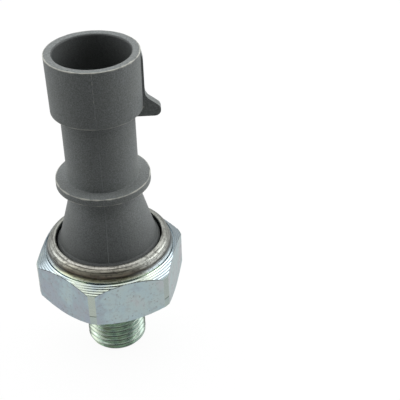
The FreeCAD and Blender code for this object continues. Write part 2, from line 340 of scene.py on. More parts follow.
# %% Find the two lines where the mould halves met
MOULD_LINE = (-50 * 360 / HOUSING_STEPS, 51 * 360 / HOUSING_STEPS)
LINE_HALF_WIDTH = 0.04
LINE_HEIGHT = 0.015
SAME_AZIMUTH = 0.05


def azimuth(point):
    """Direction of a point from the axis, in degrees."""
    return math.degrees(math.atan2(point.y, point.x))


def off_axis(point):
    """Distance of a point from the axis, in mm."""
    return math.hypot(point.x, point.y) / MM


def on_mould_line(point):
    """True outside the housing, above the clamped base, at the azimuth of either line."""
    outside = off_axis(point) > SOCKET_RADIUS + 0.5 or point.z < SHROUD_BOTTOM * MM
    outside = outside and off_axis(point) > NECK_RADIUS - 0.1
    here = any(abs(azimuth(point) - line) < SAME_AZIMUTH for line in MOULD_LINE)
    return here and outside and point.z > (LIP_UNDERSIDE + 0.01) * MM


def select_mould_line(piece):
    """Leaves the piece in edit mode with the line's vertices selected."""
    bpy.ops.object.mode_set(mode="EDIT")
    bpy.ops.mesh.select_mode(type="VERT")
    bpy.ops.mesh.select_all(action="DESELECT")
    bpy.ops.object.mode_set(mode="OBJECT")
    for vertex in piece.data.vertices:
        vertex.select = on_mould_line(vertex.co)
    print("vertices on the mould lines:", sum(vertex.select for vertex in piece.data.vertices))
    bpy.ops.object.mode_set(mode="EDIT")


# %% Bevel each line into a strip, and push the strip's middle out
select_mould_line(housing)
bpy.ops.mesh.bevel(offset=LINE_HALF_WIDTH * MM, segments=2, affect="EDGES")
bpy.ops.object.mode_set(mode="OBJECT")
select_mould_line(housing)
bpy.ops.transform.shrink_fatten(value=LINE_HEIGHT * MM)
bpy.ops.object.mode_set(mode="OBJECT")

# %% [markdown]
# ## The latch lug
# The plug's latch rides down a rail on the shroud and snaps over the lug at its foot. Both are one plate,
# drawn as an outline with the same corner radii as on the real part, filled, and extruded to its width.

# %% Draw, fill and extrude the lug, and join it to the housing
LUG_WIDTH = 1.4
LUG_REACH = 9.62
LUG_BOTTOM = 32.45
RAIL_REACH = 7.33
ROOT_RADIUS = 4.9
lug_corners = [
    (ROOT_RADIUS, LUG_BOTTOM), (LUG_REACH, LUG_BOTTOM, 0.95), (LUG_REACH, 34.01, 1.15),
    (RAIL_REACH, 35.8, 1.6), (RAIL_REACH, 41.7, 2.0), (7.02, RIM_TOP), (6.5, RIM_TOP), (6.5, 34.5),
    (ROOT_RADIUS, 34.5),
]
lug = draw_outline("lug", rounded(lug_corners))
bpy.ops.mesh.edge_face_add()
bpy.ops.transform.translate(value=(0, -LUG_WIDTH / 2 * MM, 0))
bpy.ops.mesh.extrude_region_move(TRANSFORM_OT_translate={"value": (0, LUG_WIDTH * MM, 0)})
bpy.ops.mesh.select_all(action="SELECT")
bpy.ops.mesh.normals_make_consistent(inside=False)
bpy.ops.object.mode_set(mode="OBJECT")
combine(housing, lug, "UNION")

# %% [markdown]
# ### Chips in the plastic
# Handling has left a small pit and a chipped spot on the rim, and nicked the flange's edge. Wear like
# this could be painted, but it breaks the edge's outline, so small balls bite it out of the plastic.

# %% Bite the chips out of the rim and the flange
HOUSING_SMOOTH = 24
CHIPS = [
    (-119, 0.16, 6.75, RIM_TOP + 0.05), (-50, 0.45, 7.35, RIM_TOP + 0.25), (-54, 0.4, 7.38, RIM_TOP + 0.2),
    (-115, 0.35, 7.66, FLANGE_TOP + 0.18), (-111, 0.3, 7.64, FLANGE_TOP + 0.14),
]
for azimuth_degrees, ball_radius, reach, height in CHIPS:
    angle = math.radians(azimuth_degrees)
    spot = (reach * math.cos(angle) * MM, reach * math.sin(angle) * MM, height * MM)
    bpy.ops.object.select_all(action="DESELECT")
    bpy.ops.mesh.primitive_ico_sphere_add(subdivisions=2, radius=ball_radius * MM, location=spot)
    ball = bpy.context.object
    bpy.ops.object.transform_apply(location=True, rotation=True, scale=True)
    combine(housing, ball, "DIFFERENCE")
finish_mesh(housing, HOUSING_SMOOTH)

# %% [markdown]
# ## Materials
# Every finish is made of nodes. One helper turns a hex colour into Blender's linear numbers, and one
# helper adds a node with its settings and links. Patterns use Object coordinates, so they stay on the
# piece, and their scale comes from a real size in millimetres.

# %% Helpers for colours and nodes
def colour(code):
    """Linear colour from an sRGB hex value such as 8a9096."""
    channels = [int(code[place:place + 2], 16) / 255 for place in (0, 2, 4)]
    linear = [value / 12.92 if value <= 0.04045 else ((value + 0.055) / 1.055) ** 2.4 for value in channels]
    return (*linear, 1)


def set_inputs(tree, node, inputs):
    """Sets a node's inputs. Each gets a plain value or a link from another node's output."""
    for place, value in inputs.items():
        if isinstance(value, bpy.types.NodeSocket):
            tree.links.new(value, node.inputs[place])
        else:
            node.inputs[place].default_value = value


def add(tree, kind, inputs=None, **settings):
    """Adds a node with its settings and links."""
    node = tree.nodes.new(kind)
    for name, value in settings.items():
        setattr(node, name, value)
    set_inputs(tree, node, inputs or {})
    return node


def set_stops(ramp, stops):
    """Gives a colour ramp its stops: (position, hex colour) pairs."""
    elements = ramp.color_ramp.elements
    for element, (position, code) in zip(elements, (stops[0], stops[-1])):
        element.position = position
        element.color = colour(code)
    for position, code in stops[1:-1]:
        elements.new(position).color = colour(code)


# %% Start a material
def new_material(name):
    """A material with its node tree and its Principled shader."""
    material = bpy.data.materials.new(name)
    material.use_nodes = True
    tree = material.node_tree
    print("new material:", name)
    return material, tree, tree.nodes["Principled BSDF"]


# %% Places for a pattern that runs round the axis
STREAK_STRETCH = 12.0


def axis_places(tree, place):
    """Distance from the axis, and level, as node outputs."""
    parts = add(tree, "ShaderNodeSeparateXYZ", {0: place})
    flat = add(tree, "ShaderNodeCombineXYZ", {0: parts.outputs["X"], 1: parts.outputs["Y"]})
    radius = add(tree, "ShaderNodeVectorMath", {0: flat.outputs[0]}, operation="LENGTH")
    return radius.outputs["Value"], parts.outputs["Z"]


def streaked(tree, place):
    """Distance across a turned face, and a place where noise runs round the axis in thin streaks."""
    radius, level = axis_places(tree, place)
    parts = add(tree, "ShaderNodeSeparateXYZ", {0: place})
    across = add(tree, "ShaderNodeMath", {0: radius, 1: level}, operation="SUBTRACT").outputs[0]
    fine = add(tree, "ShaderNodeMath", {0: across, 1: STREAK_STRETCH}, operation="MULTIPLY").outputs[0]
    streaks = add(tree, "ShaderNodeCombineXYZ", {0: parts.outputs["X"], 1: parts.outputs["Y"], 2: fine})
    return across, streaks.outputs[0]


# %% [markdown]
# ### Moulded grey plastic
# The housing is glass-filled polyamide, moulded in a spark-eroded tool. Its even grain breaks the light
# into fine light and dark specks with a dull sheen. Its edges are painted pale and ragged, partly as rubbed
# wear and partly as painted highlight. The foot of the cone and the inside of the socket are painted darker
# as shade.
# The specks are drawn about 0.2 mm wide, which is coarser than the real grain, so that they show.

# %% Grey polyamide with its mould grain
GRAIN = 0.2
plastic, tree, shader = new_material("grey_polyamide_moulded")
place = add(tree, "ShaderNodeTexCoord").outputs["Object"]
grain = add(tree, "ShaderNodeTexNoise", {"Vector": place, "Scale": 1 / (GRAIN * MM), "Detail": 2.0})
grain_tone = add(tree, "ShaderNodeMapRange", {0: grain.outputs["Fac"], 1: 0.3, 2: 0.7}).outputs[0]
grey = add(
    tree, "ShaderNodeMix", {0: grain_tone, 6: colour("676b6b"), 7: colour("888d8d")}, data_type="RGBA")
cloud = add(tree, "ShaderNodeTexNoise", {"Vector": place, "Scale": 1 / (4 * MM), "Detail": 2.0})
cloud_tone = add(
    tree, "ShaderNodeMapRange", {0: cloud.outputs["Fac"], 1: 0.35, 2: 0.65, 3: 0.0, 4: 0.15}).outputs[0]
warm = add(
    tree, "ShaderNodeMix", {0: cloud_tone, 6: grey.outputs[2], 7: colour("74776f")}, data_type="RGBA")

# %% Its edges, painted pale: partly rubbed wear, partly painted highlight
WORN_AND_LIT_EDGES = [
    (RIM_RADIUS, RIM_TOP), (FLANGE_RADIUS, FLANGE_TOP), (FLANGE_RADIUS, FLANGE_BOTTOM),
    (SHROUD_FOOT_RADIUS, SHROUD_BOTTOM),
]
FAR = 1.0
radius, level = axis_places(tree, place)
section = add(tree, "ShaderNodeCombineXYZ", {0: radius, 2: level}).outputs[0]
nearest = FAR
for edge_radius, edge_level in WORN_AND_LIT_EDGES:
    edge_spot = (edge_radius * MM, 0, edge_level * MM)
    reach = add(tree, "ShaderNodeVectorMath", {0: section, 1: edge_spot}, operation="DISTANCE")
    nearest = add(
        tree, "ShaderNodeMath", {0: nearest, 1: reach.outputs["Value"]}, operation="MINIMUM").outputs[0]
ragged = add(tree, "ShaderNodeTexNoise", {"Vector": place, "Scale": 1 / (1.2 * MM), "Detail": 5.0})
rub_width = add(
    tree, "ShaderNodeMapRange", {0: ragged.outputs["Fac"], 1: 0.3, 2: 0.7, 3: 0.08 * MM, 4: 0.26 * MM})
inside = add(tree, "ShaderNodeMath", {0: rub_width.outputs[0], 1: nearest}, operation="SUBTRACT")
# Painted highlight with rubbed wear: a ragged pale band along the listed edges.
rubbed = add(tree, "ShaderNodeMapRange", {0: inside.outputs[0], 1: 0.0, 2: 0.1 * MM, 3: 0.0, 4: 0.9})
worn_and_highlit = add(
    tree, "ShaderNodeMix", {0: rubbed.outputs[0], 6: warm.outputs[2], 7: colour("c2c3ba")},
    data_type="RGBA")

# %% Painted shade: darker on the cone's foot, and on the walls inside the socket and the neck
SHADE_AMOUNT = 0.6
NECK_INNER = 4.8 * MM
SHROUD_INNER = 5.95 * MM
inner_wall = add(
    tree, "ShaderNodeMapRange", {0: level, 1: 34.1 * MM, 2: 34.4 * MM, 3: NECK_INNER, 4: SHROUD_INNER})
inner = add(tree, "ShaderNodeMath", {0: inner_wall.outputs[0], 1: radius}, operation="GREATER_THAN")
inner_shade = add(tree, "ShaderNodeMath", {0: inner.outputs[0], 1: SHADE_AMOUNT}, operation="MULTIPLY").outputs[0]
foot_shade = add(
    tree, "ShaderNodeMapRange", {0: level, 1: 10 * MM, 2: 17 * MM, 3: SHADE_AMOUNT, 4: 0.0}).outputs[0]
tone_layer = add(tree, "ShaderNodeMath", {0: foot_shade, 1: inner_shade}, operation="MAXIMUM").outputs[0]
# Painted shade: this dark grey stands for the shade in the socket and at the cone's foot.
darker_tone = add(tree, "ShaderNodeMix", {0: tone_layer, 6: worn_and_highlit.outputs[2], 7: colour("2c2e2e")}, data_type="RGBA")
bump = add(tree, "ShaderNodeBump", {"Height": grain.outputs["Fac"], "Strength": 0.5, "Distance": 0.03 * MM})
set_inputs(tree, shader, {
    "Base Color": darker_tone.outputs[2], "Roughness": 0.5, "Specular IOR Level": 0.35, "Normal": bump.outputs[0],
})

# %% [markdown]
# The mould line is the same plastic, squeezed out as a thin skin and scraped, so it is pale where the
# skin still stands and nearly gone where it has broken off. It is boldest near the rim.

# %% Scraped flash on the mould line
flash, tree, shader = new_material("grey_polyamide_flash")
place = add(tree, "ShaderNodeTexCoord").outputs["Object"]
broken = add(tree, "ShaderNodeTexNoise", {"Vector": place, "Scale": 1 / (0.7 * MM), "Detail": 3.0})
standing = add(tree, "ShaderNodeMapRange", {0: broken.outputs["Fac"], 1: 0.48, 2: 0.6})
height = add(tree, "ShaderNodeSeparateXYZ", {0: place}).outputs["Z"]
fading = add(tree, "ShaderNodeMapRange", {0: height, 1: 33 * MM, 2: 41 * MM, 3: 0.06, 4: 0.8})
paleness = add(
    tree, "ShaderNodeMath", {0: standing.outputs[0], 1: fading.outputs[0]}, operation="MULTIPLY")
skin = add(
    tree, "ShaderNodeMix", {0: paleness.outputs[0], 6: colour("7b7f80"), 7: colour("b6b7af")},
    data_type="RGBA")
set_inputs(tree, shader, {"Base Color": skin.outputs[2], "Roughness": 0.5})

# %% [markdown]
# ### Zinc plating
# The body is plated with bright zinc and a thin blue passivation. The film is thin enough to shift from
# blue to pink or green from place to place. Under it, each face keeps the skin that its tool left, so
# the body gets four finishes: drawn bar on the flats, turned rings, the cut thread, and the rolled lip.
# The flats drift from a greyish blue on the left to a paler blue-green on the right, with dull stains
# and dark specks; the darker tone on the left is painted shade. The chamfer's tool has left a thin broken
# burr along their top, seen as a dark line.

# %% Zinc on the flats: a film whose colour drifts sideways, with painted shade on the left
flats, tree, shader = new_material("zinc_on_drawn_bar")
place = add(tree, "ShaderNodeTexCoord").outputs["Object"]
tint = add(
    tree, "ShaderNodeTexNoise", {"Vector": place, "Scale": 1 / (5 * MM), "Detail": 4.0, "Roughness": 0.6})
sideways = add(tree, "ShaderNodeSeparateXYZ", {0: place}).outputs["X"]
# Painted shade: with the ramp's darker low stops, this drift darkens the left side as well as tinting it.
drift = add(tree, "ShaderNodeMapRange", {0: sideways, 1: -10 * MM, 2: 10 * MM, 3: -0.16, 4: 0.16})
tone_layer = add(tree, "ShaderNodeMath", {0: tint.outputs["Fac"], 1: drift.outputs[0]}, operation="ADD")
ramp = add(tree, "ShaderNodeValToRGB", {0: tone_layer.outputs[0]})
set_stops(ramp, [
    (0.2, "b9c5d3"), (0.36, "bfc9d1"), (0.44, "bccdd5"), (0.52, "c6dbe0"), (0.62, "cadcdd"), (0.8, "d2d6d9"),
])

# %% Its specks and stains
speck = add(tree, "ShaderNodeTexNoise", {"Vector": place, "Scale": 1 / (0.35 * MM), "Detail": 2.0})
speckled = add(tree, "ShaderNodeMapRange", {0: speck.outputs["Fac"], 1: 0.64, 2: 0.74, 3: 0.0, 4: 0.6})
dusty = add(
    tree, "ShaderNodeMix", {0: speckled.outputs[0], 6: ramp.outputs[0], 7: colour("82857f")},
    data_type="RGBA")
stain = add(tree, "ShaderNodeTexNoise", {"Vector": place, "Scale": 1 / (0.7 * MM), "Detail": 4.0})
stained = add(tree, "ShaderNodeMapRange", {0: stain.outputs["Fac"], 1: 0.5, 2: 0.72, 3: 0.0, 4: 0.35})
dimmed_tone = add(
    tree, "ShaderNodeMix", {0: stained.outputs[0], 6: dusty.outputs[2], 7: colour("a79fa2")},
    data_type="RGBA")

# %% Its burr, which fades out 0.08 to 0.24 mm under the chamfer's cut
BURR_FADE = (0.24 * MM, 0.08 * MM)
radius, level = axis_places(tree, place)
below_cut = add(tree, "ShaderNodeMath", {0: radius, 1: CHAMFER, 2: level}, operation="MULTIPLY_ADD")
top_cut = (HEX_HEIGHT + SHELF_RADIUS * CHAMFER) * MM
burr = add(
    tree, "ShaderNodeMapRange",
    {0: below_cut.outputs[0], 1: top_cut - BURR_FADE[0], 2: top_cut - BURR_FADE[1], 3: 0.0, 4: 1.0})
broken = add(tree, "ShaderNodeMapRange", {0: speck.outputs["Fac"], 1: 0.42, 2: 0.55, 3: 0.3, 4: 1.0})
edge = add(tree, "ShaderNodeMath", {0: burr.outputs[0], 1: broken.outputs[0]}, operation="MULTIPLY")
edged = add(
    tree, "ShaderNodeMix", {0: edge.outputs[0], 6: dimmed_tone.outputs[2], 7: colour("3e3b39")},
    data_type="RGBA")
skin = add(tree, "ShaderNodeTexNoise", {"Vector": place, "Scale": 1 / (0.4 * MM), "Detail": 4.0})
bump = add(tree, "ShaderNodeBump", {"Height": skin.outputs["Fac"], "Strength": 0.3, "Distance": 0.02 * MM})
set_inputs(tree, shader, {
    "Base Color": edged.outputs[2], "Metallic": 1.0, "Roughness": 0.36, "Normal": bump.outputs[0],
})

# %% [markdown]
# A turned face is smoother and brighter. The tool's marks run round it about 0.2 mm apart, and the
# film gathers in them as darker lines. It is palest round the middle and bluer to the left and right, and
# the darkening towards the sides is painted shade. The hexagon's corners are turned off to narrow strips.
# They are plainer, and a painted dark line of shade crosses each of them at a small step near its foot,
# with a slightly bluer tone below.

# %% Zinc on the turned faces
turned, tree, shader = new_material("zinc_on_turned_steel")
place = add(tree, "ShaderNodeTexCoord").outputs["Object"]
streaks = streaked(tree, place)[1]
tint = add(tree, "ShaderNodeTexNoise", {"Vector": place, "Scale": 1 / (4 * MM), "Detail": 3.0})
sideways = add(tree, "ShaderNodeSeparateXYZ", {0: place}).outputs["X"]
aside = add(tree, "ShaderNodeMath", {0: sideways}, operation="ABSOLUTE").outputs[0]
# Painted shade: this drift darkens both sides as well as turning them bluer.
drift = add(tree, "ShaderNodeMapRange", {0: aside, 1: 4 * MM, 2: 10 * MM, 3: 0.05, 4: -0.15})
tone_layer = add(tree, "ShaderNodeMath", {0: tint.outputs["Fac"], 1: drift.outputs[0]}, operation="ADD")
ramp = add(tree, "ShaderNodeValToRGB", {0: tone_layer.outputs[0]})
set_stops(ramp, [(0.3, "adbbc2"), (0.43, "c0ced0"), (0.54, "dde8d8"), (0.75, "d0dad9")])
marks = add(tree, "ShaderNodeTexNoise", {"Vector": streaks, "Scale": 1 / (2.4 * MM), "Detail": 3.0})

# %% Its corner strips: evened, with fewer marks and a painted shade line at the step
STRIP_START = (12.2 * MM, 12.3 * MM)
radius, level = axis_places(tree, place)
strip = add(
    tree, "ShaderNodeMapRange", {0: radius, 1: STRIP_START[0], 2: STRIP_START[1], 3: 0.0, 4: 0.7})
evened = add(
    tree, "ShaderNodeMix", {0: strip.outputs[0], 6: ramp.outputs[0], 7: colour("c8d3ca")},
    data_type="RGBA")
fewer = add(
    tree, "ShaderNodeMapRange", {0: radius, 1: STRIP_START[0], 2: STRIP_START[1], 3: 1.0, 4: 0.15})
dark_marks = add(tree, "ShaderNodeMapRange", {0: marks.outputs["Fac"], 1: 0.3, 2: 0.5, 3: 0.5, 4: 0.0})
line = add(
    tree, "ShaderNodeMath", {0: dark_marks.outputs[0], 1: fewer.outputs[0]}, operation="MULTIPLY")
lined = add(
    tree, "ShaderNodeMix", {0: line.outputs[0], 6: evened.outputs[2], 7: colour("7f8c88")},
    data_type="RGBA")
# Painted shade: a dark band across the strips where the small step sits, 2.92 to 2.99 mm up.
strip_shade_share = add(tree, "ShaderNodeMapRange", {0: level, 1: 2.5 * MM, 2: 3.5 * MM})
strip_shade_ramp = add(tree, "ShaderNodeValToRGB", {0: strip_shade_share.outputs[0]})
set_stops(strip_shade_ramp, [(0.0, "f2f8ff"), (0.32, "f2f8ff"), (0.42, "5d6763"), (0.49, "5d6763"), (0.55, "ffffff")])
strip_shaded = add(
    tree, "ShaderNodeMix", {0: strip.outputs[0], 6: lined.outputs[2], 7: strip_shade_ramp.outputs[0]},
    data_type="RGBA", blend_type="MULTIPLY")
bump = add(tree, "ShaderNodeBump", {"Height": marks.outputs["Fac"], "Strength": 0.35, "Distance": 0.02 * MM})
set_inputs(tree, shader, {
    "Base Color": strip_shaded.outputs[2], "Metallic": 1.0, "Roughness": 0.2, "Normal": bump.outputs[0],
})

# %% [markdown]
# The thread holds more of the passivating bath in its grooves, which leaves it greener. It is palest in the
# middle and a little darker towards both sides, and that darkening is painted shade. Its crests are rubbed
# to a plain duller grey, and the lowest edge of its end carries a painted dark line of shade.

# %% Zinc on the thread
threaded, tree, shader = new_material("zinc_on_thread")
place = add(tree, "ShaderNodeTexCoord").outputs["Object"]
radius, level = axis_places(tree, place)
cloud = add(tree, "ShaderNodeTexNoise", {"Vector": place, "Scale": 1 / (1.5 * MM), "Detail": 4.0})
sideways = add(tree, "ShaderNodeSeparateXYZ", {0: place}).outputs["X"]
# Painted shade: with the ramp, this drift darkens both sides as well as tinting them.
drift = add(tree, "ShaderNodeMapRange", {0: sideways, 1: -4.5 * MM, 2: 4.5 * MM, 3: -0.25, 4: 0.25})
tone_layer = add(tree, "ShaderNodeMath", {0: cloud.outputs["Fac"], 1: drift.outputs[0]}, operation="ADD")
ramp = add(tree, "ShaderNodeValToRGB", {0: tone_layer.outputs[0]})
set_stops(ramp, [(0.3, "a8b3a2"), (0.5, "bbcfbe"), (0.7, "97a79e")])
CREST_START = (4.8 * MM, 4.93 * MM)
crest = add(tree, "ShaderNodeMapRange", {0: radius, 1: CREST_START[0], 2: CREST_START[1], 3: 0.0, 4: 0.95})
rubbed = add(
    tree, "ShaderNodeMix", {0: crest.outputs[0], 6: ramp.outputs[0], 7: colour("8a948b")},
    data_type="RGBA")
# Painted shade: a dark line along the lowest edge of the stud's end.
SHADE_LINE_FADE = (-11.45 * MM, -11.2 * MM)
lowest = add(tree, "ShaderNodeMapRange", {0: level, 1: SHADE_LINE_FADE[0], 2: SHADE_LINE_FADE[1], 3: 1.0, 4: 0.0})
shade_lined = add(
    tree, "ShaderNodeMix", {0: lowest.outputs[0], 6: rubbed.outputs[2], 7: colour("262a24")},
    data_type="RGBA")
bump = add(tree, "ShaderNodeBump", {"Height": cloud.outputs["Fac"], "Strength": 0.15, "Distance": 0.02 * MM})
set_inputs(tree, shader, {
    "Base Color": shade_lined.outputs[2], "Metallic": 1.0, "Roughness": 0.2, "Normal": bump.outputs[0],
})

# %% [markdown]
# The lip was rolled over the housing by a hard roller. Rolling crumples the skin into short marks round
# the lip, rubs its inner edge pale, and leaves two lines where the roller's shoulders ran, which the ramps
# darken further as painted shade. Under the lip's bulge the outer wall carries painted shade. A brown stain
# has settled on that wall at the front, where the film was thinnest, and the painted shade is deepest there.
# The back is painted darker as shade. Two colour ramps run from the lip's foot, over its top, to its inner
# edge: one clean, one stained, both with painted shade.

# %% Zinc on the rolled lip: how far a point lies from the foot to the inner edge
LIP_ROOT = (LIP_FOOT_RADIUS - HEX_HEIGHT) * MM
LIP_END = (LIP_EDGE_RADIUS - LIP_TOP) * MM
rolled, tree, shader = new_material("zinc_on_rolled_lip")
place = add(tree, "ShaderNodeTexCoord").outputs["Object"]
across, streaks = streaked(tree, place)
streak = add(tree, "ShaderNodeTexNoise", {"Vector": streaks, "Scale": 1 / (3.2 * MM), "Detail": 4.0})
wander = add(tree, "ShaderNodeMapRange", {0: streak.outputs["Fac"], 1: 0.3, 2: 0.7, 3: -0.05, 4: 0.05})
share = add(tree, "ShaderNodeMapRange", {0: across, 1: LIP_ROOT, 2: LIP_END})
moved = add(tree, "ShaderNodeMath", {0: share.outputs[0], 1: wander.outputs[0]}, operation="ADD")

# %% Its clean and stained colours, both with painted shade under the bulge, the stained one towards the front
# Painted shade: the dark stops at 0.24 and 0.28 fall under the lip's bulge.
clean_and_shaded = add(tree, "ShaderNodeValToRGB", {0: moved.outputs[0]})
set_stops(clean_and_shaded, [
    (0.0, "98a4a8"), (0.15, "929c9f"), (0.24, "7d8082"), (0.28, "4d4842"), (0.33, "8f918b"),
    (0.45, "b4b7b2"), (0.56, "8e908b"), (0.61, "b8bbb5"), (0.75, "a3a59f"), (0.82, "bec0b9"),
    (1.0, "d6d7cf"),
])
# Painted shade: the dark stops from 0.2 to 0.28 fall under the bulge, and those at 0.563 and 0.745 in the
# two lines.
stained = add(tree, "ShaderNodeValToRGB", {0: moved.outputs[0]})
set_stops(stained, [
    (0.0, "cbd3c2"), (0.08, "b0b498"), (0.15, "8c8b74"), (0.2, "4a4937"), (0.24, "35312a"),
    (0.28, "494238"), (0.34, "70675a"), (0.42, "8b8778"), (0.52, "918e80"), (0.563, "46423b"),
    (0.6, "a4a396"), (0.7, "bbb8ab"), (0.745, "54504a"), (0.79, "c5c3ba"), (1.0, "e3e1d9"),
])
parts = add(tree, "ShaderNodeSeparateXYZ", {0: place})
depth = add(
    tree, "ShaderNodeMath", {0: parts.outputs["X"], 1: 0.2, 2: parts.outputs["Y"]},
    operation="MULTIPLY_ADD")
# Brown stain and deeper painted shade: the stained ramp is used towards the front.
front = add(tree, "ShaderNodeMapRange", {0: depth.outputs[0], 1: -9.2 * MM, 2: -6.6 * MM, 3: 1.0, 4: 0.0})
coat = add(
    tree, "ShaderNodeMix", {0: front.outputs[0], 6: clean_and_shaded.outputs[0], 7: stained.outputs[0]},
    data_type="RGBA")

# %% Its crumpled marks, its lines, and painted shade on the back
crumple = add(tree, "ShaderNodeTexNoise", {"Vector": place, "Scale": 1 / (0.45 * MM), "Detail": 4.0})
dark = add(tree, "ShaderNodeMapRange", {0: crumple.outputs["Fac"], 1: 0.52, 2: 0.68, 3: 0.0, 4: 0.7})
marked = add(
    tree, "ShaderNodeMix", {0: dark.outputs[0], 6: coat.outputs[2], 7: colour("5a5954")},
    data_type="RGBA")
lines = add(tree, "ShaderNodeMapRange", {0: streak.outputs["Fac"], 1: 0.36, 2: 0.48, 3: 0.65, 4: 0.0})
lined = add(
    tree, "ShaderNodeMix", {0: lines.outputs[0], 6: marked.outputs[2], 7: colour("4c4b46")},
    data_type="RGBA")
# Painted shade: the back of the lip is darkened.
behind = add(
    tree, "ShaderNodeMapRange", {0: parts.outputs["Y"], 1: -2 * MM, 2: 7 * MM, 3: 0.0, 4: 0.7})
dimmed_tone = add(
    tree, "ShaderNodeMix", {0: behind.outputs[0], 6: lined.outputs[2], 7: colour("7f837c")},
    data_type="RGBA")
both = add(
    tree, "ShaderNodeMath", {0: crumple.outputs["Fac"], 1: streak.outputs["Fac"]}, operation="ADD")
bump = add(tree, "ShaderNodeBump", {"Height": both.outputs[0], "Strength": 0.6, "Distance": 0.04 * MM})
set_inputs(tree, shader, {
    "Base Color": dimmed_tone.outputs[2], "Metallic": 1.0, "Roughness": 0.36, "Normal": bump.outputs[0],
})

# %% [markdown]
# ### Finishes of the pieces inside
# These pieces only show from above, through the socket, or when the part is taken apart. Each has its
# own real material. The seals are moulded nitrile rubber: black, dull, with a faint grey bloom.

# %% Moulded nitrile rubber
rubber, tree, shader = new_material("nitrile_rubber_moulded")
place = add(tree, "ShaderNodeTexCoord").outputs["Object"]
bloom = add(tree, "ShaderNodeTexNoise", {"Vector": place, "Scale": 1 / (1.5 * MM), "Detail": 5.0})
dusted = add(tree, "ShaderNodeMapRange", {0: bloom.outputs["Fac"], 1: 0.4, 2: 0.7}).outputs[0]
skin = add(tree, "ShaderNodeMix", {0: dusted, 6: colour("18181a"), 7: colour("2c2d2e")}, data_type="RGBA")
rough = add(tree, "ShaderNodeMapRange", {0: bloom.outputs["Fac"], 1: 0.3, 2: 0.7, 3: 0.5, 4: 0.75})
set_inputs(tree, shader, {"Base Color": skin.outputs[2], "Roughness": rough.outputs[0]})

# %% [markdown]
# The diaphragm is cast polyimide film: clear amber, glossy, with a slight haze. The plunger is turned
# from white acetal, which is waxy and keeps the fine rings of its cut.

# %% Cast polyimide film
amber, tree, shader = new_material("polyimide_film_cast")
place = add(tree, "ShaderNodeTexCoord").outputs["Object"]
haze = add(tree, "ShaderNodeTexNoise", {"Vector": place, "Scale": 1 / (2 * MM), "Detail": 3.0})
tone_layer = add(
    tree, "ShaderNodeMix", {0: haze.outputs["Fac"], 6: colour("a8661a"), 7: colour("c9852b")},
    data_type="RGBA")
set_inputs(tree, shader, {"Base Color": tone_layer.outputs[2], "Roughness": 0.18})

# %% Turned white acetal
acetal, tree, shader = new_material("white_acetal_turned")
place = add(tree, "ShaderNodeTexCoord").outputs["Object"]
streaks = streaked(tree, place)[1]
cut = add(tree, "ShaderNodeTexNoise", {"Vector": streaks, "Scale": 1 / (1.2 * MM), "Detail": 2.0})
wax = add(
    tree, "ShaderNodeMix", {0: cut.outputs["Fac"], 6: colour("d2d0c8"), 7: colour("e6e4dd")},
    data_type="RGBA")
bump = add(tree, "ShaderNodeBump", {"Height": cut.outputs["Fac"], "Strength": 0.3, "Distance": 0.01 * MM})
set_inputs(tree, shader, {"Base Color": wax.outputs[2], "Roughness": 0.42, "Normal": bump.outputs[0]})

# %% [markdown]
# The contact plate and the pressure disc are pressed from plain steel sheet. Sheet keeps long straight
# rolling lines in one direction, about 0.1 mm apart, with small dull spots where oil has dried on it.

# %% Pressed steel sheet
pressed, tree, shader = new_material("plain_steel_pressed")
place = add(tree, "ShaderNodeTexCoord").outputs["Object"]
along = add(tree, "ShaderNodeMapping", {"Vector": place, "Scale": (1, 12, 1)}).outputs[0]
rolling = add(tree, "ShaderNodeTexNoise", {"Vector": along, "Scale": 1 / (1.2 * MM), "Detail": 3.0})
sheet = add(
    tree, "ShaderNodeMix", {0: rolling.outputs["Fac"], 6: colour("8f8f90"), 7: colour("b4b4b3")},
    data_type="RGBA")
spots = add(tree, "ShaderNodeTexNoise", {"Vector": place, "Scale": 1 / (1 * MM), "Detail": 4.0})
dried = add(tree, "ShaderNodeMapRange", {0: spots.outputs["Fac"], 1: 0.6, 2: 0.75, 3: 0.0, 4: 0.5})
darker_tone = add(
    tree, "ShaderNodeMix", {0: dried.outputs[0], 6: sheet.outputs[2], 7: colour("7b7468")},
    data_type="RGBA")
rough = add(tree, "ShaderNodeMapRange", {0: rolling.outputs["Fac"], 1: 0.3, 2: 0.7, 3: 0.28, 4: 0.42})
set_inputs(tree, shader, {"Base Color": darker_tone.outputs[2], "Metallic": 1.0, "Roughness": rough.outputs[0]})

# %% [markdown]
# The contact spring is cold-drawn spring wire and the push washer is hardened strip. Both are darker
# than plain steel, with a thin brown-blue skin from heat treatment that has worn off in places.

# %% Hardened spring steel
sprung, tree, shader = new_material("spring_steel_hardened")
place = add(tree, "ShaderNodeTexCoord").outputs["Object"]
skin = add(tree, "ShaderNodeTexNoise", {"Vector": place, "Scale": 1 / (0.8 * MM), "Detail": 5.0})
ramp = add(tree, "ShaderNodeValToRGB", {0: skin.outputs["Fac"]})
set_stops(ramp, [(0.3, "6d6a68"), (0.5, "84807b"), (0.65, "777a80"), (0.8, "a5a5a4")])
set_inputs(tree, shader, {"Base Color": ramp.outputs[0], "Metallic": 1.0, "Roughness": 0.32})

# %% [markdown]
# The fixed contacts are silver buttons, burnished flat where they meet the disc and a little tarnished
# round it. The terminal and the contact disc are turned brass, warm and bright, with fine tool marks.

